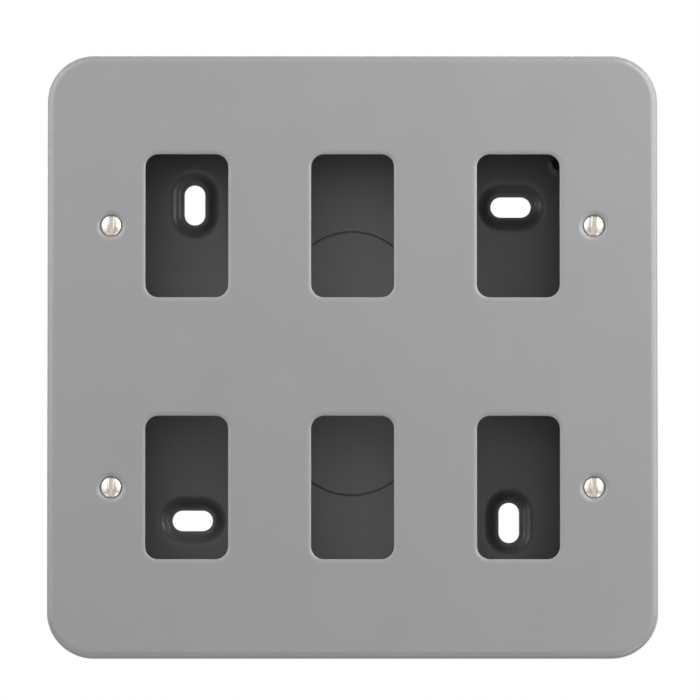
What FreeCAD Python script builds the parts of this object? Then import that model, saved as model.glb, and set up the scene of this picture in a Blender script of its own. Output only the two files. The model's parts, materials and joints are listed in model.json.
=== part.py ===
import FreeCAD, Part
import math
import os
import re

import Sketcher

# A grid switch plate on its surface box, with no switch modules fitted. Sizes are in millimetres.
# It stands as it hangs on a wall: X runs left to right, Z runs up and the front faces -Y.
# The wall is the plane y = 0, and the origin lies midway between the four fixing feet.

SHEET = "Sizes"

# Driving dimensions, one cell of the sheet each.
SIZES = {
    # Front plate: one dished sheet with a turned-back rim.
    "plate_width": 152.5,
    "plate_height": 150.7,
    "plate_depth": 8.0,
    "plate_sheet": 1.5,
    "plate_corner": 11.6,
    "plate_bend": 1.5,
    # Module apertures: two rows of three.
    "aperture_width": 20.7,
    "aperture_height": 35.8,
    "aperture_corner": 3.2,
    "column_pitch": 41.4,
    "row_pitch": 65.4,
    # Plate screws: raised countersunk heads with a straight slot.
    "screw_span": 120.6,
    "screw_diameter": 3.5,
    "screw_length": 12.0,
    "head_diameter": 5.0,
    "head_cone": 0.95,
    "head_dome": 0.7,
    "head_slot_width": 1.0,
    "head_slot_depth": 0.9,
    # Surface box: one drawn sheet, open to the front.
    "box_depth": 40.0,
    "box_sheet": 1.2,
    "box_bend": 2.0,
    # Feet pressed out of the box's back, each with a fixing slot.
    "foot_height": 2.0,
    "foot_width": 11.4,
    "foot_length": 16.8,
    "foot_taper": 45.0,
    "foot_ease": 0.7,
    "slot_width": 5.2,
    "slot_length": 10.2,
    "slot_across": 39.9,
    "slot_along": 40.4,
    # Half-sheared knock-outs in the back and in the upper and lower walls.
    "back_knockout_width": 33.6,
    "back_knockout_length": 66.7,
    "conduit_knockout": 20.4,
    "shear_gap": 0.45,
    "shear_depth": 0.6,
    "shear_offset": 0.3,
    # Earth pillar on the back, with a blind hole for its screw.
    "earth_x": 52.6,
    "earth_z": 50.9,
    "earth_boss": 5.6,
    "earth_height": 2.4,
    "earth_hole": 3.34,
    "earth_depth": 3.0,
    # Module frames: pressed yokes behind the plate, one for each row.
    "frame_sheet": 1.2,
    "frame_border": 4.6,
    "frame_flange": 6.0,
    "frame_bend": 1.6,
    "ear_height": 14.0,
    "ear_overhang": 5.6,
    "ear_slot_length": 6.4,
    "notch_width": 7.0,
    "notch_depth": 1.4,
    # Lugs welded inside the box's left and right walls.
    "lug_sheet": 2.0,
    "lug_width": 12.0,
    "lug_depth": 14.0,
    "lug_nose": 5.6,
    "lug_bend": 2.6,
    "lug_corner": 2.5,
    # Fits.
    "rim_clearance": 0.9,
    "seat_clearance": 0.03,
    "shank_clearance": 0.2,
    "thread_clearance": 0.05,
    "frame_reveal": 2.0,
}

# Apertures across and up the plate, and feet round the back of the box.
COLUMNS = 3
ROWS = 2
FEET = 4

# Worked-out sizes, as rules on the cells. Distances called "front" are measured from the wall.
BOX_WIDTH = "(plate_width - 2 * (plate_sheet + rim_clearance))"
BOX_HEIGHT = "(plate_height - 2 * (plate_sheet + rim_clearance))"
BOX_CORNER = "(plate_corner - plate_sheet - rim_clearance)"
BOX_INSIDE = "(foot_height + box_sheet)"
BOX_FRONT = "(foot_height + box_depth)"
PLATE_FRONT = f"({BOX_FRONT} + plate_sheet)"
LUG_FRONT = f"({BOX_FRONT} - frame_sheet)"
WALL_MIDDLE = "(foot_height + box_depth / 2)"
SHANK_HOLE = "(screw_diameter + 2 * shank_clearance)"
TAPPED_HOLE = "(screw_diameter + 2 * thread_clearance)"
SEAT_SHARE = f"((head_diameter - {SHANK_HOLE}) / (head_diameter - screw_diameter))"
HEAD_DEPTH = f"(plate_sheet - seat_clearance - {SEAT_SHARE} * head_cone)"
FIRST_COLUMN = f"(-{COLUMNS - 1} / 2 * column_pitch)"
FIRST_ROW = f"(-{ROWS - 1} / 2 * row_pitch)"
FIRST_SCREW = "(-screw_span / 2)"
OPENING_WIDTH = "(aperture_width + 2 * frame_reveal)"
OPENING_HEIGHT = "(aperture_height + 2 * frame_reveal)"
FRAME_WIDTH = f"({COLUMNS - 1} * column_pitch + {OPENING_WIDTH} + 2 * frame_border)"
FRAME_HEIGHT = f"({OPENING_HEIGHT} + 2 * frame_border)"
LUG_REACH = f"({BOX_WIDTH} / 2 - box_sheet - screw_span / 2)"
MOUTH_INSET = "(2 * box_sheet * tan((90 - foot_taper) / 2 * 1 deg))"

# Side and level of each screw, and its slot's turn from upright, clockwise as seen from the front.
SCREWS = {
    "upper_left": (-1, 1, 1.0),
    "upper_right": (1, 1, 4.0),
    "lower_left": (-1, -1, 2.0),
    "lower_right": (1, -1, 0.0),
}

# Numbers that a sketch gives to a curve's own points, counted up from 1, and to its axes, down from -1.
START, END, CENTRE = range(1, 4)
H_AXIS, V_AXIS = range(-1, -3, -1)
ORIGIN = FreeCAD.Vector(0, 0, 0)
NORMAL = FreeCAD.Vector(0, 0, 1)
FRONT = FreeCAD.Vector(0, -1, 0)
QUARTER_TURN = math.pi / 2
NEAR = 1e-4


def rule(text):
    """Point every size named in the text at its cell of the sheet."""
    def cell(word):
        name = word.group()
        return f"{SHEET}.{name}" if name in SIZES else name
    return re.sub(r"[a-z_]+", cell, text)


def bind(target, path, text):
    target.setExpression(path, rule(text))


def value(doc, text):
    """Work a rule out as a plain number."""
    return float(doc.getObject(SHEET).evalExpression(rule(text)))


def make_sheet(doc):
    sheet = doc.addObject("Spreadsheet::Sheet", SHEET)
    for row, (alias, number) in enumerate(SIZES.items(), start=1):
        sheet.set(f"A{row}", alias)
        sheet.set(f"B{row}", str(number))
        sheet.setAlias(f"B{row}", alias)
    doc.recompute()


def origin_feature(body, role):
    return next(item for item in body.Origin.OriginFeatures if item.Role == role)


# Sketches


def start_sketch(body, name, role, x="0", y="0", z="0", turn=0):
    """Start a sketch on one of the body's planes, moved by x and y across it and z off it."""
    sketch = body.newObject("Sketcher::SketchObject", f"{body.Name}_{name}")
    sketch.AttachmentSupport = [(origin_feature(body, role), "")]
    sketch.MapMode = "FlatFace"
    sketch.AttachmentOffset.Rotation = FreeCAD.Rotation(NORMAL, turn)
    for axis, text in zip("xyz", (x, y, z)):
        bind(sketch, f"AttachmentOffset.Base.{axis}", text)
    return sketch


def dimension(sketch, text, kind, *ends):
    """Add a sizing constraint and bind it to a rule."""
    number = sketch.addConstraint(Sketcher.Constraint(kind, *ends, value(sketch.Document, text)))
    bind(sketch, f"Constraints[{number}]", text)


def draw_circle(sketch, diameter):
    radius = value(sketch.Document, diameter) / 2
    circle = sketch.addGeometry(Part.Circle(ORIGIN, NORMAL, radius))
    sketch.addConstraint(Sketcher.Constraint("Coincident", circle, CENTRE, H_AXIS, START))
    dimension(sketch, diameter, "Diameter", circle)


def draw_loop(sketch, corners, radius):
    """Draw straight sides joined by tangent arcs about the given arc centres, anticlockwise.

    Each corner is its arc's centre and the directions, in quarter turns, where it starts and ends.
    """
    lines, arcs = [], []
    for (x, y), start, end in corners:
        circle = Part.Circle(FreeCAD.Vector(x, y, 0), NORMAL, radius)
        arc = Part.ArcOfCircle(circle, start * QUARTER_TURN, end * QUARTER_TURN)
        arcs.append(sketch.addGeometry(arc))
    for here, there in zip(arcs, arcs[1:] + arcs[:1]):
        side = Part.LineSegment(sketch.Geometry[here].EndPoint, sketch.Geometry[there].StartPoint)
        lines.append(sketch.addGeometry(side))
        sketch.addConstraint(Sketcher.Constraint("Tangent", here, END, lines[-1], START))
        sketch.addConstraint(Sketcher.Constraint("Tangent", lines[-1], END, there, START))
    return lines, arcs


def draw_rounded_rectangle(sketch, width, height, corner):
    doc = sketch.Document
    radius = value(doc, corner)
    x = value(doc, width) / 2 - radius
    y = value(doc, height) / 2 - radius
    corners = [((x, y), 0, 1), ((-x, y), 1, 2), ((-x, -y), 2, 3), ((x, -y), 3, 4)]
    (top, left, bottom, right), arcs = draw_loop(sketch, corners, radius)
    for line in (top, bottom):
        sketch.addConstraint(Sketcher.Constraint("Horizontal", line))
    for line in (left, right):
        sketch.addConstraint(Sketcher.Constraint("Vertical", line))
    for arc in arcs[1:]:
        sketch.addConstraint(Sketcher.Constraint("Equal", arcs[0], arc))
    sketch.addConstraint(
        Sketcher.Constraint("Symmetric", arcs[0], CENTRE, arcs[2], CENTRE, H_AXIS, START))
    dimension(sketch, corner, "Radius", arcs[0])
    dimension(sketch, width, "DistanceX", left, START, right, START)
    dimension(sketch, height, "DistanceY", bottom, START, top, START)


def draw_obround(sketch, width, length):
    """Draw a slot outline with round ends, its long way upright."""
    doc = sketch.Document
    radius = value(doc, width) / 2
    y = value(doc, length) / 2 - radius
    lines, arcs = draw_loop(sketch, [((0, y), 0, 2), ((0, -y), 2, 4)], radius)
    for line in lines:
        sketch.addConstraint(Sketcher.Constraint("Vertical", line))
    sketch.addConstraint(
        Sketcher.Constraint("Symmetric", arcs[0], CENTRE, arcs[1], CENTRE, H_AXIS, START))
    dimension(sketch, f"{width} / 2", "Radius", arcs[0])
    dimension(sketch, f"{length} - {width}", "DistanceY", arcs[1], CENTRE, arcs[0], CENTRE)


def draw_polygon(sketch, points):
    """Draw a closed outline of straight lines through points given as pairs of rules."""
    doc = sketch.Document
    places = [FreeCAD.Vector(value(doc, x), value(doc, y), 0) for x, y in points]
    lines = [sketch.addGeometry(Part.LineSegment(here, there))
             for here, there in zip(places, places[1:] + places[:1])]
    for line, following, (x, y) in zip(lines, lines[1:] + lines[:1], points):
        sketch.addConstraint(Sketcher.Constraint("Coincident", line, END, following, START))
        dimension(sketch, x, "DistanceX", H_AXIS, START, line, START)
        dimension(sketch, y, "DistanceY", H_AXIS, START, line, START)


def draw_rectangle(sketch, width, height):
    x = f"({width}) / 2"
    y = f"({height}) / 2"
    draw_polygon(sketch, [(f"-{x}", f"-{y}"), (x, f"-{y}"), (x, y), (f"-{x}", y)])


# Features


def require_change(feature, before, grows):
    """Stop if a feature failed to add or remove material."""
    change = feature.Shape.Volume - before
    if (change > 0) != grows or abs(change) < NEAR:
        raise RuntimeError(f"{feature.Name} changed the volume by {change:.4f}")


def extrude(body, kind, sketch, length, reverse=False, taper=None):
    """Pad or pocket a sketch. A pad grows along the sketch's normal, and a pocket against it."""
    before = body.Shape.Volume if body.Tip else 0.0
    feature = body.newObject(f"PartDesign::{kind}", f"{sketch.Name}_{kind.lower()}")
    feature.Profile = sketch
    feature.Reversed = reverse
    bind(feature, "Length", length)
    if taper:
        bind(feature, "TaperAngle", taper)
    body.Document.recompute()
    require_change(feature, before, kind == "Pad")
    return feature


def revolve(body, kind, sketch):
    """Turn a sketch about its own upright axis, to add a Revolution or cut a Groove."""
    before = body.Shape.Volume if body.Tip else 0.0
    feature = body.newObject(f"PartDesign::{kind}", f"{sketch.Name}_{kind.lower()}")
    feature.Profile = sketch
    feature.ReferenceAxis = (sketch, ["V_Axis"])
    body.Document.recompute()
    require_change(feature, before, kind == "Revolution")
    return feature


def repeat_on_grid(body, name, originals, columns, pitch_x, rows, pitch_z):
    """Repeat features along X and up Z."""
    pattern = body.newObject("PartDesign::LinearPattern", f"{body.Name}_{name}")
    pattern.Originals = originals
    pattern.Direction = (origin_feature(body, "X_Axis"), [""])
    pattern.Occurrences = columns
    bind(pattern, "Length", f"{columns - 1} * {pitch_x}")
    pattern.Direction2 = (origin_feature(body, "Z_Axis"), [""])
    pattern.Occurrences2 = rows
    bind(pattern, "Length2", f"{rows - 1} * {pitch_z}")
    body.Tip = pattern
    body.Document.recompute()


def turn_round(body, name, originals, count):
    """Repeat features round the Y axis."""
    pattern = body.newObject("PartDesign::PolarPattern", f"{body.Name}_{name}")
    pattern.Originals = originals
    pattern.Axis = (origin_feature(body, "Y_Axis"), [""])
    pattern.Angle = 360
    pattern.Occurrences = count
    body.Tip = pattern
    body.Document.recompute()


def mirror(body, name, originals, *roles):
    """Mirror features in each of the named planes in turn."""
    group = body.newObject("PartDesign::MultiTransform", f"{body.Name}_{name}")
    group.Originals = originals
    mirrors = []
    for role in roles:
        mirrors.append(body.newObject("PartDesign::Mirrored", f"{group.Name}_{role}"))
        mirrors[-1].MirrorPlane = (origin_feature(body, role), [""])
    group.Transformations = mirrors
    body.Tip = group
    body.Document.recompute()


def soften(body, kind, name, amount, wanted):
    """Fillet or chamfer the edges of the body so far that the given test picks out."""
    base = body.Tip
    names = [f"Edge{number}" for number, edge in enumerate(base.Shape.Edges, start=1) if wanted(edge)]
    feature = body.newObject(f"PartDesign::{kind}", f"{body.Name}_{name}")
    feature.Base = (base, names)
    bind(feature, "Radius" if kind == "Fillet" else "Size", amount)
    body.Document.recompute()


def hollow(body, name, sheet, open_face):
    """Leave a wall of the given thickness inside the body's skin, open at one flat face."""
    base = body.Tip
    faces = [f"Face{number}" for number, face in enumerate(base.Shape.Faces, start=1) if open_face(face)]
    shell = body.newObject("PartDesign::Thickness", f"{body.Name}_{name}")
    shell.Base = (base, faces)
    shell.Reversed = True
    bind(shell, "Value", sheet)
    body.Document.recompute()


def lies_at(shape, distance):
    """Tell whether a shape lies flat at a distance in front of the wall."""
    box = shape.BoundBox
    return abs(box.YMin + distance) < NEAR and abs(box.YMax + distance) < NEAR


# Sub-parts


def build_front_plate(doc):
    body = doc.addObject("PartDesign::Body", "front_plate")
    front = value(doc, PLATE_FRONT)
    rim = value(doc, f"{PLATE_FRONT} - plate_depth")

    outline = start_sketch(body, "outline", "XZ_Plane", z=f"{PLATE_FRONT} - plate_depth")
    draw_rounded_rectangle(outline, "plate_width", "plate_height", "plate_corner")
    extrude(body, "Pad", outline, "plate_depth")
    hollow(body, "dish", "plate_sheet", lambda face: lies_at(face, rim))
    soften(body, "Fillet", "bend", "plate_bend", lambda edge: lies_at(edge, front))

    aperture = start_sketch(body, "aperture", "XZ_Plane", FIRST_COLUMN, FIRST_ROW, PLATE_FRONT)
    draw_rounded_rectangle(aperture, "aperture_width", "aperture_height", "aperture_corner")
    punched = extrude(body, "Pocket", aperture, "plate_sheet")
    repeat_on_grid(body, "apertures", [punched], COLUMNS, "column_pitch", ROWS, "row_pitch")

    # A countersink goes right through the sheet at each screw.
    sink = start_sketch(body, "countersink", "XY_Plane", FIRST_SCREW, f"-{PLATE_FRONT}", FIRST_ROW)
    hole = f"{SHANK_HOLE} / 2"
    mouth = f"{hole} + plate_sheet"
    draw_polygon(sink, [("0", "0"), (mouth, "0"), (hole, "plate_sheet"), ("0", "plate_sheet")])
    sunk = revolve(body, "Groove", sink)
    repeat_on_grid(body, "countersinks", [sunk], 2, "screw_span", ROWS, "row_pitch")
    return body


def build_back_box(doc):
    body = doc.addObject("PartDesign::Body", "back_box")
    back = value(doc, "foot_height")
    inside = value(doc, BOX_INSIDE)
    front = value(doc, BOX_FRONT)

    outline = start_sketch(body, "outline", "XZ_Plane", z="foot_height")
    draw_rounded_rectangle(outline, BOX_WIDTH, BOX_HEIGHT, BOX_CORNER)
    extrude(body, "Pad", outline, "box_depth")
    hollow(body, "drawn_wall", "box_sheet", lambda face: lies_at(face, front))
    soften(body, "Fillet", "bend", "box_bend", lambda edge: lies_at(edge, back))

    # One foot, pressed back to the wall and then turned round the middle of the box.
    corner = ("-slot_across", "slot_along")
    foot = start_sketch(body, "foot", "XZ_Plane", *corner, "foot_height")
    draw_obround(foot, "foot_width", "foot_length")
    pressed = extrude(body, "Pad", foot, "foot_height", reverse=True, taper="-foot_taper")
    mouth = start_sketch(body, "foot_mouth", "XZ_Plane", *corner, BOX_INSIDE)
    draw_obround(mouth, f"(foot_width - {MOUTH_INSET})", f"(foot_length - {MOUTH_INSET})")
    dished = extrude(body, "Pocket", mouth, "foot_height", taper="-foot_taper")
    turn_round(body, "feet", [pressed, dished], FEET)

    # Inside, the sheet is eased over into each foot.
    reach = value(doc, "slot_along + foot_length")

    def at_mouth(edge):
        box = edge.BoundBox
        spread = max(abs(box.XMin), abs(box.XMax), abs(box.ZMin), abs(box.ZMax))
        return spread < reach and lies_at(edge, inside)
    soften(body, "Chamfer", "eased_mouths", "foot_ease", at_mouth)
    slot = start_sketch(body, "slot", "XZ_Plane", *corner, "box_sheet")
    draw_obround(slot, "slot_width", "slot_length")
    turn_round(body, "slots", [extrude(body, "Pocket", slot, "box_sheet")], FEET)

    # A long knock-out in the back: its slug is half sheared into the box, with a gap all round.
    slug_size = ("back_knockout_width", "back_knockout_length")
    slug = start_sketch(body, "slug", "XZ_Plane", z=BOX_INSIDE)
    draw_obround(slug, *slug_size)
    extrude(body, "Pad", slug, "shear_offset")
    dent = start_sketch(body, "slug_dent", "XZ_Plane", z="foot_height")
    draw_obround(dent, *slug_size)
    extrude(body, "Pocket", dent, "shear_offset", reverse=True)
    gap = start_sketch(body, "slug_gap", "XZ_Plane", z=BOX_INSIDE)
    draw_obround(gap, *slug_size)
    draw_obround(gap, *(f"({size} + 2 * shear_gap)" for size in slug_size))
    extrude(body, "Pocket", gap, "shear_depth")

    # A round conduit knock-out, sunk into the wall above and below.
    conduit = start_sketch(body, "conduit", "XY_Plane", y=f"-{WALL_MIDDLE}", z=f"{BOX_HEIGHT} / 2")
    draw_circle(conduit, "conduit_knockout")
    mirror(body, "conduit_knockouts", [extrude(body, "Pocket", conduit, "shear_offset")], "XY_Plane")

    # Earth pillar, standing forwards from the back, with a blind hole to tap.
    boss = start_sketch(body, "earth_boss", "XZ_Plane", "earth_x", "earth_z", BOX_INSIDE)
    draw_circle(boss, "earth_boss")
    extrude(body, "Pad", boss, "earth_height")
    hole = start_sketch(body, "earth_hole", "XZ_Plane", "earth_x", "earth_z",
                        f"{BOX_INSIDE} + earth_height")
    draw_circle(hole, "earth_hole")
    extrude(body, "Pocket", hole, "earth_depth")
    return body


def build_module_frame(doc, name, side):
    """Build a yoke for one row of modules, above the middle for side 1 and below it for side -1."""
    body = doc.addObject("PartDesign::Body", name)
    bind(body, "Placement.Base.z", f"{side} * row_pitch / 2")

    # The section has a flange turned back along its top and its bottom.
    section = start_sketch(body, "section", "YZ_Plane", f"-{BOX_FRONT}", z=f"-{FRAME_WIDTH} / 2")
    edge_at = f"{FRAME_HEIGHT} / 2"
    inner_at = f"{FRAME_HEIGHT} / 2 - frame_sheet"
    draw_polygon(section, [
        ("0", f"-{edge_at}"), ("frame_flange", f"-{edge_at}"), ("frame_flange", f"-({inner_at})"),
        ("frame_sheet", f"-({inner_at})"), ("frame_sheet", inner_at), ("frame_flange", inner_at),
        ("frame_flange", edge_at), ("0", edge_at)])
    extrude(body, "Pad", section, FRAME_WIDTH)
    face = value(doc, BOX_FRONT)
    soften(body, "Fillet", "bends", "frame_bend",
           lambda edge: lies_at(edge, face) and edge.BoundBox.ZLength < NEAR)

    ears = start_sketch(body, "ears", "XZ_Plane", z=f"{BOX_FRONT} - frame_sheet")
    draw_rectangle(ears, "screw_span + 2 * ear_overhang", "ear_height")
    extrude(body, "Pad", ears, "frame_sheet")
    slot = start_sketch(body, "ear_slot", "XZ_Plane", FIRST_SCREW, z=BOX_FRONT, turn=90)
    draw_obround(slot, SHANK_HOLE, "ear_slot_length")
    slotted = extrude(body, "Pocket", slot, "frame_sheet")
    mirror(body, "ear_slots", [slotted], "YZ_Plane")

    # Each opening has notches above and below for the module's clips.
    opening = start_sketch(body, "opening", "XZ_Plane", FIRST_COLUMN, z=BOX_FRONT)
    draw_rectangle(opening, OPENING_WIDTH, OPENING_HEIGHT)
    notch = start_sketch(body, "notch", "XZ_Plane", FIRST_COLUMN, z=BOX_FRONT)
    draw_rectangle(notch, "notch_width", f"{OPENING_HEIGHT} + 2 * notch_depth")
    cuts = [extrude(body, "Pocket", sketch, "frame_sheet") for sketch in (opening, notch)]
    repeat_on_grid(body, "openings", cuts, COLUMNS, "column_pitch", 1, "row_pitch")
    return body


def build_fixing_lug(doc, name, side, level):
    """Build a tapped bracket on the right wall for side 1, or turned onto the left for side -1."""
    body = doc.addObject("PartDesign::Body", name)
    body.Placement.Rotation = FreeCAD.Rotation(FRONT, 0 if side > 0 else 180)
    bind(body, "Placement.Base.x", f"{side} * screw_span / 2")
    bind(body, "Placement.Base.y", f"-{LUG_FRONT}")
    bind(body, "Placement.Base.z", f"{level} * row_pitch / 2")

    # The bracket's own origin is the tapped hole's middle on its front face.
    section = start_sketch(body, "section", "XY_Plane", z="-lug_width / 2")
    inner = f"{LUG_REACH} - lug_sheet"
    draw_polygon(section, [
        ("-lug_nose", "0"), (LUG_REACH, "0"), (LUG_REACH, "lug_depth"), (inner, "lug_depth"),
        (inner, "lug_sheet"), ("-lug_nose", "lug_sheet")])
    extrude(body, "Pad", section, "lug_width")
    reach = value(doc, LUG_REACH)
    nose = value(doc, "lug_nose")
    soften(body, "Fillet", "bend", "lug_bend", lambda edge: lies_at(edge, 0)
           and edge.BoundBox.XMin > reach - NEAR)
    soften(body, "Chamfer", "nose", "lug_corner",
           lambda edge: edge.BoundBox.ZLength < NEAR and edge.BoundBox.XMax < NEAR - nose)
    hole = start_sketch(body, "tapped_hole", "XZ_Plane")
    draw_circle(hole, TAPPED_HOLE)
    extrude(body, "Pocket", hole, "lug_sheet")
    return body


def draw_dome(sketch, diameter, height):
    """Draw half of a round cap's section, standing up the sketch's -y side."""
    doc = sketch.Document
    reach = value(doc, diameter) / 2
    rise = value(doc, height)
    radius = (reach ** 2 + rise ** 2) / (2 * rise)
    middle = FreeCAD.Vector(0, radius - rise, 0)
    top = FreeCAD.Vector(0, -rise, 0)
    rim = FreeCAD.Vector(reach, 0, 0)
    side = FreeCAD.Vector(reach, -middle.y, 0).getAngle(FreeCAD.Vector(1, 0, 0))
    circle = Part.Circle(middle, NORMAL, radius)
    cap = sketch.addGeometry(Part.ArcOfCircle(circle, -QUARTER_TURN, -side))
    base = sketch.addGeometry(Part.LineSegment(rim, ORIGIN))
    axis = sketch.addGeometry(Part.LineSegment(ORIGIN, top))
    for here, its_end, there, other_end in (
            (cap, END, base, START), (base, END, H_AXIS, START),
            (axis, START, H_AXIS, START), (axis, END, cap, START)):
        sketch.addConstraint(Sketcher.Constraint("Coincident", here, its_end, there, other_end))
    sketch.addConstraint(Sketcher.Constraint("Horizontal", base))
    sketch.addConstraint(Sketcher.Constraint("Vertical", axis))
    sketch.addConstraint(Sketcher.Constraint("PointOnObject", cap, CENTRE, V_AXIS))
    dimension(sketch, f"{diameter} / 2", "DistanceX", H_AXIS, START, base, START)
    dimension(sketch, f"-{height}", "DistanceY", H_AXIS, START, axis, END)


def build_screw(doc, name, side, level, turn):
    """Build one plate screw. Its own origin is on its axis, level with the plate's front face."""
    body = doc.addObject("PartDesign::Body", name)
    body.Placement.Rotation = FreeCAD.Rotation(FRONT, -turn)
    bind(body, "Placement.Base.x", f"{side} * screw_span / 2")
    bind(body, "Placement.Base.y", f"-{PLATE_FRONT}")
    bind(body, "Placement.Base.z", f"{level} * row_pitch / 2")

    shaft = start_sketch(body, "shaft", "XY_Plane", y=HEAD_DEPTH)
    shank = "screw_diameter / 2"
    draw_polygon(shaft, [("0", "0"), ("head_diameter / 2", "0"), (shank, "head_cone"),
                         (shank, "screw_length"), ("0", "screw_length")])
    revolve(body, "Revolution", shaft)
    dome = start_sketch(body, "dome", "XY_Plane", y=HEAD_DEPTH)
    draw_dome(dome, "head_diameter", "head_dome")
    revolve(body, "Revolution", dome)
    slot = start_sketch(body, "slot", "XZ_Plane", z=f"head_dome - {HEAD_DEPTH}")
    draw_rectangle(slot, "head_slot_width", "head_diameter")
    extrude(body, "Pocket", slot, "head_slot_depth")
    return body


def build_plate_screws(doc):
    """Build the four identical screws as one group of separate solids."""
    group = doc.addObject("Part::Compound", "plate_screws")
    group.Links = [build_screw(doc, f"screw_{place}", *values) for place, values in SCREWS.items()]
    doc.recompute()
    return group


def check_and_write(doc, subparts):
    """Write each sub-part to its own file, once every object in the document is sound."""
    for item in doc.Objects:
        if {"Invalid", "Error"} & set(item.State):
            raise RuntimeError(f"{item.Name} failed: {item.State}")
    for subpart in subparts:
        if subpart.Shape.isNull() or not subpart.Shape.isValid():
            raise RuntimeError(f"{subpart.Label} has no valid shape")
    os.makedirs("parts", exist_ok=True)
    for subpart in subparts:
        subpart.Shape.exportStep(f"parts/{subpart.Label}.step")
        print(subpart.Label, len(subpart.Shape.Solids), round(subpart.Shape.Volume, 3))


document = FreeCAD.newDocument("GridSwitchPlate")
make_sheet(document)
pieces = [
    build_front_plate(document),
    build_back_box(document),
    build_module_frame(document, "upper_module_frame", 1),
    build_module_frame(document, "lower_module_frame", -1),
]
for place, (side, level, turn) in SCREWS.items():
    pieces.append(build_fixing_lug(document, f"fixing_lug_{place}", side, level))
pieces.append(build_plate_screws(document))
check_and_write(document, pieces)
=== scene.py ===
import json
import math
from typing import NamedTuple

import bmesh
import bpy
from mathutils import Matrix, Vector


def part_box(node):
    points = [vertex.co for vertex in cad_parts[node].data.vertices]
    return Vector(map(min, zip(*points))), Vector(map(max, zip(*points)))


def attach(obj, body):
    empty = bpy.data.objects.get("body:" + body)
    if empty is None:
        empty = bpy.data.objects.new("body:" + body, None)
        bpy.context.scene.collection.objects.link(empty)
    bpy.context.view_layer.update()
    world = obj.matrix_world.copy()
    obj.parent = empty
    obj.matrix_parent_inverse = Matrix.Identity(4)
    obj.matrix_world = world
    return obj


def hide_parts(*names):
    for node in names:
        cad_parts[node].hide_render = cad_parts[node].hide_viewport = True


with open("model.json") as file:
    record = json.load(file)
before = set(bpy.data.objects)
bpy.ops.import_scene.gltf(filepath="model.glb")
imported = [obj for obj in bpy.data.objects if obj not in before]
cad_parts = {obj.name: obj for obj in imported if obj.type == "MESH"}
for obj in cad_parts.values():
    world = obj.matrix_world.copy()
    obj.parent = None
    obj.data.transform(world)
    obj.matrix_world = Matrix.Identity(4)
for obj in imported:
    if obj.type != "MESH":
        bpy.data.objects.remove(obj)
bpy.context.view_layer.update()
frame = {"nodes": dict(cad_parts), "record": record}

# A grid switch plate on its surface box, with no switch modules fitted, in metres.
# X runs left to right, Z runs up, the front faces -Y and the wall is the plane y = 0.
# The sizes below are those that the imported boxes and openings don't give.

MM = 0.001
BODY = "root"
QUARTER_TURN = math.pi / 2
NEAR = 1e-7

# Front plate
PLATE_SHEET = 1.5 * MM
PLATE_CORNER = 11.6 * MM
PLATE_BEND = 1.9 * MM
APERTURE_WIDTH = 20.7 * MM
APERTURE_HEIGHT = 35.8 * MM
APERTURE_CORNER = 3.2 * MM
# Punching draws the sheet gently down round each aperture, up to a small rounded edge.
DRAW_RADIUS = 2.4 * MM
DRAW_TILT = math.radians(26)
DRAW_EDGE = 0.22 * MM
# The sheet eases over into each countersink, which has a narrow well round the screw's head.
SHANK_HOLE = 1.95 * MM
SINK_SLOPE = math.radians(45)
SINK_EASE = 1.3 * MM
HEAD_WELL = 2.78 * MM
HEAD_WELL_FLOOR = 1.1 * MM

# Plate screws
SCREW_SPAN = 120.6 * MM
SCREW_LENGTH = 12.0 * MM
SCREW_RADIUS = 1.75 * MM
HEAD_RADIUS = 2.5 * MM
HEAD_CONE = 0.95 * MM
HEAD_DOME = 0.7 * MM
HEAD_SLOT_WIDTH = 1.0 * MM
HEAD_SLOT_DEPTH = 0.9 * MM
HEAD_SLOT_EASE = 0.16 * MM
# Degrees that each slot is turned clockwise, in the order of screw_places().
SLOT_TURNS = (2.0, 0.0, 1.0, 4.0)
THREAD_PITCH = 0.6 * MM
THREAD_DEPTH = 0.32 * MM
# Shares of the shank along which the thread deepens below the neck, and fades before the tip.
THREAD_START = 1 / 6
THREAD_END = 1 / 12
# Least turn between neighbouring points round a shank.
LEAST_TURN = 0.001

# Surface box
BOX_CORNER = 9.2 * MM
BOX_SHEET = 1.2 * MM
BOX_BEND = 2.0 * MM
# A foot dips with wide, soft bends on the inside, and stands out with tight ones on the outside.
FOOT_DISH = 1.4 * MM
DISH_SLOPE = math.radians(38)
DISH_BENDS = (4.0 * MM, 2.6 * MM)
FOOT_HEIGHT = 2.0 * MM
FOOT_SLOPE = math.radians(45)
FOOT_BENDS = (0.4 * MM, 1.0 * MM)
FOOT_SOLE = (7.0 * MM, 12.4 * MM)
FOOT_LAND = (5.5 * MM, 10.5 * MM)
FOOT_SLOT = (5.2 * MM, 10.2 * MM)
KNOCKOUT = (33.6 * MM, 66.7 * MM)
CONDUIT_KNOCKOUT = 20.4 * MM
SHEAR_GAP = 0.32 * MM
SHEAR_DEPTH = 0.8 * MM
SHEAR_OFFSET = 0.3 * MM
EARTH_BOSS = 4.3 * MM
EARTH_FLARE = 0.75 * MM
EARTH_RISE = 0.36 * MM
EARTH_CROWN = 0.17 * MM
EARTH_HOLE = 3.34 * MM
EARTH_HEIGHT = 2.4 * MM
EARTH_DEPTH = 3.0 * MM

# Meshes: the flat band kept beside a bend, so that the flat's own shading stays flat, the rounding
# of a cut edge, and the steps of each kind of bend.
FLAT_BAND = 0.25 * MM
CUT_EDGE = 0.12 * MM
CUT_STEPS = 3
PLATE_BEND_STEPS = 12
DRAW_STEPS = 8
SINK_STEPS = 6
BOX_BEND_STEPS = 8
BOX_INNER_STEPS = 6
FOLD_STEPS = 6
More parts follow.
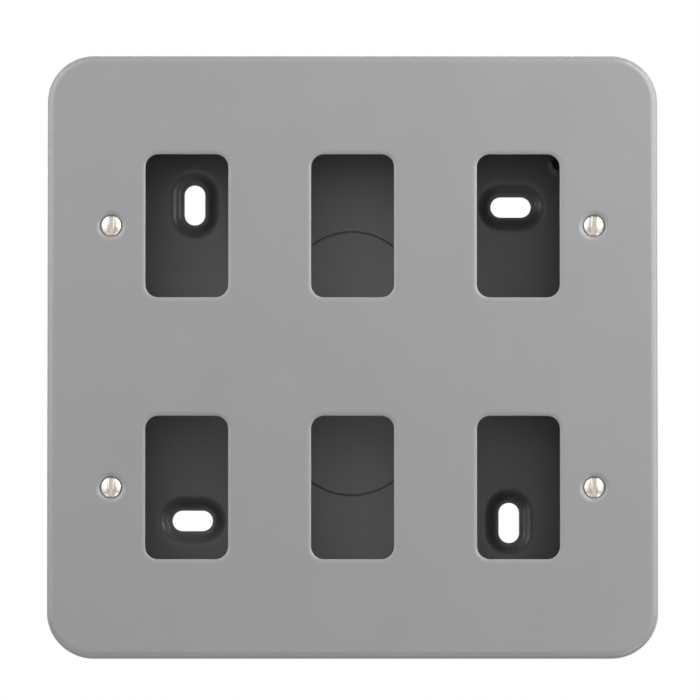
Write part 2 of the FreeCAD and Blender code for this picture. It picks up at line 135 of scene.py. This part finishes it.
# Lines and rows on each side of a head's slot, steps of the slot's edge, and rows in a thread's turn.
HEAD_LINES = 10
HEAD_ROWS = 18
HEAD_EASE_STEPS = 4
THREAD_ROWS = 6
SHEET_CREASE = math.radians(40)
SCREW_CREASE = math.radians(30)


# Outlines and profiles


class Outline(NamedTuple):
    """A rounded rectangle on a flat. An obround or a circle is one whose sides vanish."""
    width: float
    height: float
    corner: float
    x: float = 0.0
    z: float = 0.0
    steps: int = 12

    def points(self, grow):
        """Points round the outline, with every side moved out by the same amount."""
        corner = self.corner + grow
        across = self.width / 2 - self.corner
        along = self.height / 2 - self.corner
        found = []
        for quarter, (side, rise) in enumerate(((1, 1), (-1, 1), (-1, -1), (1, -1))):
            for step in range(self.steps + 1):
                angle = (quarter + step / self.steps) * QUARTER_TURN
                point = Vector((self.x + side * across + corner * math.cos(angle),
                                self.z + rise * along + corner * math.sin(angle)))
                if not found or (point - found[-1]).length > NEAR:
                    found.append(point)
        if (found[0] - found[-1]).length < NEAR:
            found.pop()
        return found


def obround(size, x=0.0, z=0.0, steps=12):
    return Outline(*size, min(size) / 2, x, z, steps)


def circle(radius, x, z, steps=12):
    return Outline(2 * radius, 2 * radius, radius, x, z, steps)


def arc(radius, steps, start=0.0, end=QUARTER_TURN):
    """Runs and drops along a bend from one slope to another, or else from a face to a wall."""
    for step in range(steps + 1):
        angle = start + step / steps * (end - start)
        yield radius * (math.sin(angle) - math.sin(start)), radius * (math.cos(start) - math.cos(angle))


def draw_in():
    """Runs and drops along a face that is drawn down to a tilt, and then round its edge to a wall."""
    drawn = list(arc(DRAW_RADIUS, DRAW_STEPS, end=DRAW_TILT))
    last_run, last_drop = drawn[-1]
    edge = list(arc(DRAW_EDGE, DRAW_STEPS, start=DRAW_TILT))
    return drawn + [(last_run + run, last_drop + drop) for run, drop in edge[1:]]


def fold(height, turn, first, second):
    """Runs and drops of a sheet that bends down to a slope and back, with the two bends' radii."""
    straight = height - (first + second) * (1 - math.cos(turn))
    reach = (first + second) * math.sin(turn) + straight / math.tan(turn)
    down = list(arc(first, FOLD_STEPS, end=turn))
    back = [(reach - run, height - drop) for run, drop in arc(second, FOLD_STEPS, end=turn)]
    return down + back[::-1]


CUT_ARC = list(arc(CUT_EDGE, CUT_STEPS))


def upright(u, v, depth):
    """A place on a face that looks along Y."""
    return u, depth, v


def level(u, v, depth):
    """A place on a face that looks along Z."""
    return u, v, depth


class Shell:
    """A closed mesh in the making, joined from rings of points round outlines."""

    def __init__(self):
        self.mesh = bmesh.new()

    def ring(self, outline, grow, depth, place):
        return [self.mesh.verts.new(place(*point, depth)) for point in outline.points(grow)]

    def join(self, here, there):
        """Join two rings with as many points each, and return the faces in order."""
        pairs = zip(here, here[1:] + here[:1], there, there[1:] + there[:1])
        return [self.mesh.faces.new((a, b, d, c)) for a, b, c, d in pairs]

    def skin(self, profile, place=upright):
        """Join a run of rings, each an outline, its growth and its depth. Return the rings."""
        rings = [self.ring(*row, place) for row in profile]
        for here, there in zip(rings, rings[1:]):
            self.join(here, there)
        return rings

    def edges(self, ring):
        pairs = zip(ring, ring[1:] + ring[:1])
        return [self.mesh.edges.get(pair) or self.mesh.edges.new(pair) for pair in pairs]

    def fill(self, *rings):
        """Fill the flat between an outer ring and the rings inside it."""
        edges = [edge for ring in rings for edge in self.edges(ring)]
        bmesh.ops.triangle_fill(self.mesh, use_beauty=True, use_dissolve=False, edges=edges)

    def finish(self, name, material, crease):
        """Put the mesh in the scene, smooth apart from its creases."""
        bmesh.ops.recalc_face_normals(self.mesh, faces=self.mesh.faces)
        data = bpy.data.meshes.new(name)
        self.mesh.to_mesh(data)
        self.mesh.free()
        data.shade_smooth()
        data.set_sharp_from_angle(angle=crease)
        data.materials.append(material)
        piece = bpy.data.objects.new(name, data)
        bpy.context.scene.collection.objects.link(piece)
        return piece


def stand_for(piece, node):
    """Attach a piece to the body, and hide the node that it stands for."""
    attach(piece, BODY)
    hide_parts(node)


def opening_centres(start):
    """Middles of the record's openings whose names start with a word, with their boxes' sizes."""
    for opening in frame["record"]["physics"]["openings"]:
        if opening["name"].startswith(start):
            low, high = (Vector(corner) for corner in opening["box_m"])
            yield (low + high) / 2, high - low


def screw_places():
    """Middles of the plate screws, from the lower row to the upper one, the left one first."""
    rows = sorted({round(middle.z, 6) for middle, _ in opening_centres("aperture")})
    return [(side * SCREW_SPAN / 2, z) for z in rows for side in (-1, 1)]


# Materials

# Noise lies mostly between these values.
NOISE_LOW = 0.3
NOISE_HIGH = 0.7
# Powder coat: grains in a metre of its cloud, its gloss, its orange peel and the peel's fine grain,
# with the share that each changes the colour or roughness by, or its height.
CLOUD_GRAINS = 60
CLOUD_SHARE = 0.015
GLOSS_GRAINS = 900
GLOSS_SPREAD = 0.02
PEEL_GRAINS = 1400
PEEL_HEIGHT = 0.006 * MM
FINE_GRAINS = 5200
FINE_HEIGHT = 0.002 * MM
PEEL_DETAIL = 2
PEEL_STRENGTH = 0.4
# Plated metal: how much finer the grains of its polish and its relief are than its stains.
POLISH_FINENESS = 2
RELIEF_FINENESS = 3
RELIEF_HEIGHT = 0.01 * MM
RELIEF_STRENGTH = 0.3


def new_material(name):
    material = bpy.data.materials.new(name)
    material.use_nodes = True
    tree = material.node_tree
    return material, tree, tree.nodes["Principled BSDF"]


def noise(tree, grains, detail=3):
    """Noise that stays fixed to the piece, at so many grains a metre."""
    place = tree.nodes.new("ShaderNodeTexCoord")
    texture = tree.nodes.new("ShaderNodeTexNoise")
    texture.inputs["Scale"].default_value = grains
    texture.inputs["Detail"].default_value = detail
    tree.links.new(place.outputs["Object"], texture.inputs["Vector"])
    return texture.outputs["Fac"]


def spread(tree, source, low, high):
    """Turn noise about its middle into values between low and high."""
    span = tree.nodes.new("ShaderNodeMapRange")
    span.inputs["From Min"].default_value = NOISE_LOW
    span.inputs["From Max"].default_value = NOISE_HIGH
    span.inputs["To Min"].default_value = low
    span.inputs["To Max"].default_value = high
    tree.links.new(source, span.inputs["Value"])
    return span.outputs["Result"]


def tint(tree, source, dark, light):
    """Turn noise about its middle into colours between dark and light."""
    ramp = tree.nodes.new("ShaderNodeValToRGB")
    first, last = ramp.color_ramp.elements
    first.position = NOISE_LOW
    first.color = (*dark, 1)
    last.position = NOISE_HIGH
    last.color = (*light, 1)
    tree.links.new(source, ramp.inputs["Fac"])
    return ramp.outputs["Color"]


def bump(tree, source, height, strength, under=None):
    relief = tree.nodes.new("ShaderNodeBump")
    relief.inputs["Distance"].default_value = height
    relief.inputs["Strength"].default_value = strength
    tree.links.new(source, relief.inputs["Height"])
    if under:
        tree.links.new(under, relief.inputs["Normal"])
    return relief.outputs["Normal"]


def powder_coat(name, colour, gloss, rough):
    """Satin powder coat: an even colour with a faint cloud, and a very fine orange peel."""
    material, tree, shader = new_material(name)
    link = tree.links.new
    dark = [part * (1 - CLOUD_SHARE) for part in colour]
    light = [part * (1 + CLOUD_SHARE) for part in colour]
    link(tint(tree, noise(tree, CLOUD_GRAINS), dark, light), shader.inputs["Base Color"])
    shader.inputs["Specular IOR Level"].default_value = gloss
    gloss_noise = noise(tree, GLOSS_GRAINS)
    link(spread(tree, gloss_noise, rough - GLOSS_SPREAD, rough + GLOSS_SPREAD), shader.inputs["Roughness"])
    peel = bump(tree, noise(tree, PEEL_GRAINS, PEEL_DETAIL), PEEL_HEIGHT, PEEL_STRENGTH)
    fine = bump(tree, noise(tree, FINE_GRAINS, PEEL_DETAIL), FINE_HEIGHT, PEEL_STRENGTH, peel)
    link(fine, shader.inputs["Normal"])
    return material


def plated(name, dark, light, rough, grains):
    """Plated metal with faint stains and a slightly uneven polish."""
    material, tree, shader = new_material(name)
    link = tree.links.new
    shader.inputs["Metallic"].default_value = 1.0
    link(tint(tree, noise(tree, grains), dark, light), shader.inputs["Base Color"])
    link(spread(tree, noise(tree, grains * POLISH_FINENESS), *rough), shader.inputs["Roughness"])
    relief = bump(tree, noise(tree, grains * RELIEF_FINENESS), RELIEF_HEIGHT, RELIEF_STRENGTH)
    link(relief, shader.inputs["Normal"])
    return material


# Front plate


def add_plate_rim(shell, size, front, back, rim):
    """Turn the plate's rim back all round. Return the rings round the flats of its front and back."""
    outer = Outline(size.x, size.z, PLATE_CORNER, steps=24)
    inner = -PLATE_SHEET
    cove = 2 * CUT_EDGE
    bend = arc(PLATE_BEND, PLATE_BEND_STEPS)
    profile = [(outer, -PLATE_BEND - FLAT_BAND, front)]
    profile += [(outer, run - PLATE_BEND, front + drop) for run, drop in bend]
    profile += [(outer, -drop, rim - CUT_EDGE + run) for run, drop in CUT_ARC]
    profile += [(outer, inner + CUT_EDGE - run, rim - drop) for run, drop in CUT_ARC]
    profile += [(outer, inner - drop, back + cove - run) for run, drop in arc(cove, CUT_STEPS)]
    profile += [(outer, inner - cove - FLAT_BAND, back)]
    rings = shell.skin(profile)
    return rings[0], rings[-1]


def add_aperture(shell, x, z, front, back):
    """Punch one aperture. Return its rings on the front and the back."""
    hole = Outline(APERTURE_WIDTH, APERTURE_HEIGHT, APERTURE_CORNER, x, z, steps=10)
    drawn = draw_in()
    reach = drawn[-1][0]
    profile = [(hole, reach + FLAT_BAND, front)]
    profile += [(hole, reach - run, front + drop) for run, drop in drawn]
    profile += [(hole, drop, back - CUT_EDGE + run) for run, drop in CUT_ARC]
    profile += [(hole, CUT_EDGE + FLAT_BAND, back)]
    rings = shell.skin(profile)
    return rings[0], rings[-1]


def add_countersink(shell, x, z, front, back):
    """Sink one screw's seat right through the sheet. Return its rings on the front and the back."""
    hole = circle(SHANK_HOLE, x, z, steps=16)
    mouth = PLATE_SHEET + SINK_EASE * math.tan(SINK_SLOPE / 2)
    well = HEAD_WELL - SHANK_HOLE
    well_floor = front + HEAD_WELL_FLOOR
    ease = arc(SINK_EASE, SINK_STEPS, end=SINK_SLOPE)
    profile = [(hole, mouth + FLAT_BAND, front)]
    profile += [(hole, mouth - run, front + drop) for run, drop in ease]
    profile += [(hole, well, back - well), (hole, well, well_floor)]
    profile += [(hole, PLATE_SHEET - HEAD_WELL_FLOOR, well_floor), (hole, 0, back), (hole, FLAT_BAND, back)]
    rings = shell.skin(profile)
    return rings[0], rings[-1]


def build_front_plate(material):
    low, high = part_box("front_plate")
    front, back = low.y, low.y + PLATE_SHEET
    shell = Shell()
    pairs = [add_plate_rim(shell, high - low, front, back, high.y)]
    pairs += [add_aperture(shell, middle.x, middle.z, front, back)
              for middle, _ in opening_centres("aperture")]
    pairs += [add_countersink(shell, x, z, front, back) for x, z in screw_places()]
    for rings in zip(*pairs):
        shell.fill(*rings)
    piece = shell.finish("front_plate_dressed", material, SHEET_CREASE)
    stand_for(piece, "front_plate")


# Surface box


def add_conduit_knockout(shell, face, side, middle):
    """Sink a round knock-out into the flat of the upper wall, or of the lower one on side -1."""
    corners = list(face.verts)
    height = corners[0].co.z
    floor = height - side * SHEAR_OFFSET
    disc = circle(CONDUIT_KNOCKOUT / 2, 0, middle, steps=16)
    bmesh.ops.delete(shell.mesh, geom=[face], context="FACES_ONLY")
    profile = [(disc, CUT_EDGE + FLAT_BAND, height)]
    profile += [(disc, CUT_EDGE - run, height - side * drop) for run, drop in CUT_ARC]
    profile += [(disc, 0, floor), (disc, -FLAT_BAND, floor)]
    rings = shell.skin(profile, level)
    shell.fill(corners, rings[0])
    shell.fill(rings[-1])


def add_box_walls(shell, size, front, inside, back):
    """Draw the walls, with their knock-outs. Return the rings round the back, inside and outside."""
    outer = Outline(size.x, size.z, BOX_CORNER, steps=20)
    inner = -BOX_SHEET
    bend = BOX_BEND - BOX_SHEET
    profile = [(outer, inner - bend - FLAT_BAND, inside)]
    profile += [(outer, inner - bend + run, inside - drop) for run, drop in arc(bend, BOX_INNER_STEPS)]
    profile += [(outer, inner + drop, front + CUT_EDGE - run) for run, drop in CUT_ARC]
    inner_rings = shell.skin(profile)
    rim_rings = shell.skin([(outer, run - CUT_EDGE, front + drop) for run, drop in CUT_ARC])
    profile = [(outer, -drop, back - BOX_BEND + run) for run, drop in arc(BOX_BEND, BOX_BEND_STEPS)]
    profile += [(outer, -BOX_BEND - FLAT_BAND, back)]
    outer_rings = shell.skin(profile)
    shell.join(inner_rings[-1], rim_rings[0])
    walls = shell.join(rim_rings[-1], outer_rings[0])

    # The flat of a wall is the one face between the arcs of two corners.
    quarter = outer.steps + 1
    middle = (front + back) / 2
    add_conduit_knockout(shell, walls[quarter - 1], 1, middle)
    add_conduit_knockout(shell, walls[3 * quarter - 1], -1, middle)
    return inner_rings[0], outer_rings[-1]


def add_foot(shell, x, z, upright_slot, inside, back, wall):
    """Press one foot out of the back, with its slot. Return its rings inside and outside."""
    def along(size):
        return obround(size if upright_slot else size[::-1], x, z)
    land, slot, sole = along(FOOT_LAND), along(FOOT_SLOT), along(FOOT_SOLE)
    floor = inside + FOOT_DISH
    inner = fold(FOOT_DISH, DISH_SLOPE, *DISH_BENDS)
    outer = fold(FOOT_HEIGHT, FOOT_SLOPE, *FOOT_BENDS)
    inner_reach, outer_reach = inner[-1][0], outer[-1][0]
    profile = [(land, inner_reach + FLAT_BAND, inside)]
    profile += [(land, inner_reach - run, inside + drop) for run, drop in inner]
    profile += [(slot, CUT_EDGE - run, floor + drop) for run, drop in CUT_ARC]
    profile += [(slot, drop, wall - CUT_EDGE + run) for run, drop in CUT_ARC]
    profile += [(sole, outer_reach - run, back + drop) for run, drop in reversed(outer)]
    profile += [(sole, outer_reach + FLAT_BAND, back)]
    rings = shell.skin(profile)
    return rings[0], rings[-1]


def add_knockout(shell, inside, back):
    """Shear the long slug half way into the box, with a gap round it. Return the rings outside it."""
    slug = obround(KNOCKOUT, steps=24)
    brink = SHEAR_GAP + CUT_EDGE
    floor = inside + SHEAR_DEPTH
    top = inside - SHEAR_OFFSET
    profile = [(slug, brink + FLAT_BAND, inside)]
    profile += [(slug, brink - run, inside + drop) for run, drop in CUT_ARC]
    profile += [(slug, SHEAR_GAP, floor), (slug, 0, floor)]
    profile += [(slug, -drop, top + CUT_EDGE - run) for run, drop in CUT_ARC]
    profile += [(slug, -CUT_EDGE - FLAT_BAND, top)]
    inner = shell.skin(profile)
    shell.fill(inner[-1])
    sunk = back - SHEAR_OFFSET
    profile = [(slug, CUT_EDGE + FLAT_BAND, back)]
    profile += [(slug, CUT_EDGE - run, back - drop) for run, drop in CUT_ARC]
    profile += [(slug, 0, sunk), (slug, -FLAT_BAND, sunk)]
    outer = shell.skin(profile)
    shell.fill(outer[-1])
    return inner[0], outer[0]


def add_earth_pillar(shell, inside):
    """Stand the earth pillar on the back, with its blind hole. Return the ring round its foot."""
    mounts = {mount["name"]: mount for mount in frame["record"]["mounts"]}
    x, _, z = mounts["earth_terminal"]["pos_m"]
    boss = circle(EARTH_BOSS / 2, x, z)
    hole = circle(EARTH_HOLE / 2, x, z)
    top = inside - EARTH_HEIGHT
    profile = [(boss, EARTH_FLARE + FLAT_BAND, inside), (boss, EARTH_FLARE, inside)]
    profile += [(boss, 0, inside - EARTH_RISE), (boss, 0, top + EARTH_CROWN)]
    profile += [(hole, CUT_EDGE - run, top + drop) for run, drop in CUT_ARC]
    profile += [(hole, 0, top + EARTH_DEPTH)]
    rings = shell.skin(profile)
    shell.fill(rings[-1])
    return rings[0]


def build_back_box(material):
    low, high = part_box("back_box")
    front, wall = low.y, high.y
    back = wall - FOOT_HEIGHT
    inside = back - BOX_SHEET
    shell = Shell()
    pairs = [add_box_walls(shell, high - low, front, inside, back)]
    pairs += [add_foot(shell, middle.x, middle.z, extent.z > extent.x, inside, back, wall)
              for middle, extent in opening_centres("fixing_slot")]
    pairs.append(add_knockout(shell, inside, back))
    insides, outsides = zip(*pairs)
    shell.fill(*insides, add_earth_pillar(shell, inside))
    shell.fill(*outsides)
    piece = shell.finish("back_box_dressed", material, SHEET_CREASE)
    stand_for(piece, "back_box")


# Plate screws


def dome_fall(reach):
    """How far a head's dome falls from its top to a distance from the middle."""
    bow = (HEAD_RADIUS ** 2 + HEAD_DOME ** 2) / (2 * HEAD_DOME)
    return bow - math.sqrt(bow ** 2 - reach ** 2)


def half_head():
    """Lines beside a head's slot, from its floor out to the rim. Each has its distance from the slot's
    middle line, and its drop below the dome, which is None on the floor."""
    wall = HEAD_SLOT_WIDTH / 2
    brink = wall + HEAD_SLOT_EASE
    eased = [(brink - run, drop) for run, drop in arc(HEAD_SLOT_EASE, HEAD_EASE_STEPS)]
    turn = math.acos(brink / HEAD_RADIUS)
    shares = [1 - step / HEAD_LINES for step in range(1, HEAD_LINES)]
    dome = [(HEAD_RADIUS * math.cos(turn * share), 0.0) for share in shares]
    return [(wall, None)] + eased[::-1] + dome


def add_head(shell, x, z, turn, rim):
    """Make a head's slotted dome, with its slot turned clockwise. Return the loop round its edge."""
    top = rim - HEAD_DOME
    taper = (HEAD_RADIUS - SCREW_RADIUS) / HEAD_CONE
    cosine, sine = math.cos(turn), math.sin(turn)
    half = half_head()
    grid = []
    for out, drop in [(-out, drop) for out, drop in half[::-1]] + half:
        on_floor = drop is None
        below_rim = HEAD_SLOT_DEPTH - HEAD_DOME if on_floor else drop
        reach = math.sqrt((HEAD_RADIUS - below_rim * taper) ** 2 - out ** 2)
        line = []
        for step in range(HEAD_ROWS + 1):
            along = reach * (2 * step / HEAD_ROWS - 1)
            fall = HEAD_SLOT_DEPTH if on_floor else drop + dome_fall(math.hypot(out, along))
            place = (x + out * cosine + along * sine, top + fall, z - out * sine + along * cosine)
            line.append(shell.mesh.verts.new(place))
        grid.append(line)
    for here, there in zip(grid, grid[1:]):
        for a, b, c, d in zip(here, here[1:], there, there[1:]):
            shell.mesh.faces.new((a, b, d, c))
    upper = [line[-1] for line in grid[1:-1]]
    lower = [line[0] for line in grid[-2:0:-1]]
    return grid[0] + upper + grid[-1][::-1] + lower


def add_thread_ring(shell, x, z, angles, y, depth):
    """Make a ring round a threaded shank, whose radius falls with the groove as it winds past."""
    ring = []
    for angle in angles:
        phase = (y / THREAD_PITCH - angle / math.tau) % 1
        reach = SCREW_RADIUS - depth * abs(2 * phase - 1)
        ring.append(shell.mesh.verts.new((x + reach * math.cos(angle), y, z + reach * math.sin(angle))))
    return ring


def add_screw(shell, x, z, turn, tip):
    """Make one raised countersunk screw, with a cut thread and a slot across its head."""
    rim = tip - SCREW_LENGTH
    neck = rim + HEAD_CONE
    loop = add_head(shell, x, z, turn, rim)

    # The rings of the shank follow the loop's own directions, which always wind the same way.
    angles = []
    for vertex in loop:
        angle = math.atan2(vertex.co.z - z, vertex.co.x - x)
        if angles:
            if angle > angles[-1] + math.pi:
                angle -= math.tau
            angle = min(angle, angles[-1] - LEAST_TURN)
        angles.append(angle)

    rings = [loop, add_thread_ring(shell, x, z, angles, neck, 0.0)]
    rows = THREAD_ROWS * int((SCREW_LENGTH - HEAD_CONE) / THREAD_PITCH)
    for row in range(1, rows + 1):
        share = row / rows
        depth = THREAD_DEPTH * min(1.0, share / THREAD_START, (1 - share) / THREAD_END)
        rings.append(add_thread_ring(shell, x, z, angles, neck + (tip - neck) * share, depth))
    for here, there in zip(rings, rings[1:]):
        shell.join(here, there)
    shell.mesh.faces.new(rings[-1])


def build_plate_screws(material):
    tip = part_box("plate_screws")[1].y
    shell = Shell()
    for (x, z), turn in zip(screw_places(), SLOT_TURNS):
        add_screw(shell, x, z, math.radians(turn), tip)
    piece = shell.finish("plate_screws_dressed", material, SCREW_CREASE)
    stand_for(piece, "plate_screws")


# Frames and lugs


def dress_zinc_nodes(material):
    """Give the frames and lugs, whose shapes are right as they are, their plated finish."""
    for name, node in frame["nodes"].items():
        if "module_frame" in name or "fixing_lug" in name:
            node.data.materials.clear()
            node.data.materials.append(material)


# Stage

CAMERA_DISTANCE = 2.2
CAMERA_AZIMUTH = -0.27
CAMERA_ELEVATION = -2.7
FRAME_COVERS = 174.7 * MM
SENSOR = 36.0
AIM_OFFSET = Vector((-0.65 * MM, 0, 1.6 * MM))

# Soft lamps round the plate: azimuth and elevation in degrees from straight in front, distance, width
# and height in metres, and glow, which is how bright a lamp is to look at.
SOFTBOXES = {
    "right_softbox": (43, 29, 0.42, 0.185, 0.42, 4.7),
    "right_edge": (80, 20, 0.5, 0.22, 0.5, 4.3),
    "left_softbox": (-45, 28, 0.42, 0.19, 0.41, 2.55),
    "left_edge": (-78, 20, 0.5, 0.24, 0.5, 3.0),
    "right_lower": (43, -9, 0.42, 0.185, 0.22, 1.0),
    "left_lower": (-45, -9, 0.42, 0.19, 0.22, 0.85),
    "low_right": (50, -48, 0.6, 0.4, 0.28, 1.45),
    "low_left": (-50, -48, 0.6, 0.4, 0.28, 0.75),
    "under_fill": (0, -78, 0.2, 0.4, 0.06, 1.1),
    "back_softbox": (180, 25, 0.7, 0.9, 0.6, 2.2),
}

# Greys of the world and the floor. The backdrop, the pale and the shaded one show where the background
# is seen, straight or in a reflection. The other two light the object.
BACKDROP = 1.0
AMBIENT = 0.02
FLOOR_PALE = 0.7
FLOOR_SHADED = 0.5
FLOOR_DIM = 0.06
FLOOR_LEVEL = -0.8
FLOOR_SIZE = 12.0


def direction(azimuth, elevation):
    """The way from the plate towards a lamp or the camera, in degrees from straight in front."""
    turn, rise = math.radians(azimuth), math.radians(elevation)
    return Vector((math.sin(turn) * math.cos(rise), -math.cos(turn) * math.cos(rise), math.sin(rise)))


def look_from(item, place, target):
    item.location = place
    item.rotation_euler = (target - place).to_track_quat("-Z", "Y").to_euler()


def plate_middle():
    low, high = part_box("front_plate")
    return Vector(((low.x + high.x) / 2, low.y, (low.z + high.z) / 2))


def add_camera():
    data = bpy.data.cameras.new("camera")
    data.sensor_width = SENSOR
    data.lens = SENSOR * CAMERA_DISTANCE / FRAME_COVERS
    camera = bpy.data.objects.new("camera", data)
    bpy.context.scene.collection.objects.link(camera)
    target = plate_middle() + AIM_OFFSET
    look_from(camera, target + CAMERA_DISTANCE * direction(CAMERA_AZIMUTH, CAMERA_ELEVATION), target)
    bpy.context.scene.camera = camera


def add_softbox(name, azimuth, elevation, distance, width, height, glow):
    """Add a soft lamp that shines at the plate, and that the camera doesn't see."""
    data = bpy.data.lights.new(name, "AREA")
    data.shape = "RECTANGLE"
    data.size = width
    data.size_y = height
    data.energy = glow * math.pi * width * height
    lamp = bpy.data.objects.new(name, data)
    bpy.context.scene.collection.objects.link(lamp)
    lamp.visible_camera = False
    target = plate_middle()
    look_from(lamp, target + distance * direction(azimuth, elevation), target)


def seen_rays(tree):
    """One for rays that show the background, seen straight, in a reflection or through a gap."""
    path = tree.nodes.new("ShaderNodeLightPath")
    total = path.outputs["Is Camera Ray"]
    for name in ("Is Glossy Ray", "Is Transmission Ray"):
        either = tree.nodes.new("ShaderNodeMath")
        either.operation = "MAXIMUM"
        tree.links.new(total, either.inputs[0])
        tree.links.new(path.outputs[name], either.inputs[1])
        total = either.outputs["Value"]
    return total


def grey_node(tree, kind, grey):
    """A shader of one grey. Return its output."""
    node = tree.nodes.new(kind)
    node.inputs["Color"].default_value = (grey, grey, grey, 1)
    return node.outputs[0]


def mix_seen(tree, lighting, seen, output):
    """Show one shader to the rays that show the background, and light the object by another."""
    mix = tree.nodes.new("ShaderNodeMixShader")
    tree.links.new(seen_rays(tree), mix.inputs[0])
    tree.links.new(lighting, mix.inputs[1])
    tree.links.new(seen, mix.inputs[2])
    tree.links.new(mix.outputs[0], output.inputs["Surface"])


def add_world():
    world = bpy.data.worlds.new("studio")
    bpy.context.scene.world = world
    world.use_nodes = True
    tree = world.node_tree
    tree.nodes.clear()
    ambient = grey_node(tree, "ShaderNodeBackground", AMBIENT)
    backdrop = grey_node(tree, "ShaderNodeBackground", BACKDROP)
    mix_seen(tree, ambient, backdrop, tree.nodes.new("ShaderNodeOutputWorld"))


def add_floor():
    """A floor well below the plate. It shows pale, with the shadows on it, but throws little light up."""
    data = bpy.data.meshes.new("floor")
    half = FLOOR_SIZE / 2
    corners = [(-half, -half, 0), (half, -half, 0), (half, half, 0), (-half, half, 0)]
    data.from_pydata(corners, [], [(0, 1, 2, 3)])
    floor = bpy.data.objects.new("floor", data)
    floor.location.z = FLOOR_LEVEL
    bpy.context.scene.collection.objects.link(floor)
    material, tree, shader = new_material("floor")
    tree.nodes.remove(shader)
    both = tree.nodes.new("ShaderNodeAddShader")
    tree.links.new(grey_node(tree, "ShaderNodeEmission", FLOOR_PALE), both.inputs[0])
    tree.links.new(grey_node(tree, "ShaderNodeBsdfDiffuse", FLOOR_SHADED), both.inputs[1])
    dim = grey_node(tree, "ShaderNodeBsdfDiffuse", FLOOR_DIM)
    mix_seen(tree, dim, both.outputs[0], tree.nodes["Material Output"])
    material.cycles.emission_sampling = "NONE"
    data.materials.append(material)


build_front_plate(powder_coat("painted_front", colour=(0.337, 0.3365, 0.3455), gloss=0.5, rough=0.3))
# The box takes a darker grey than the plate, though both wear one paint: this is painted shade, standing in
# for the shade inside the box and offsetting the backdrop's reflection in its gloss.
build_back_box(powder_coat("painted_box", colour=(0.232, 0.232, 0.236), gloss=0.45, rough=0.3))
build_plate_screws(plated("nickel", dark=(0.55, 0.505, 0.455), light=(0.61, 0.565, 0.515),
                          rough=(0.18, 0.26), grains=700))
dress_zinc_nodes(plated("zinc", dark=(0.52, 0.53, 0.55), light=(0.60, 0.61, 0.63),
                        rough=(0.3, 0.42), grains=400))

add_camera()
add_world()
add_floor()
for softbox, values in SOFTBOXES.items():
    add_softbox(softbox, *values)
bpy.context.scene.view_settings.view_transform = "Standard"
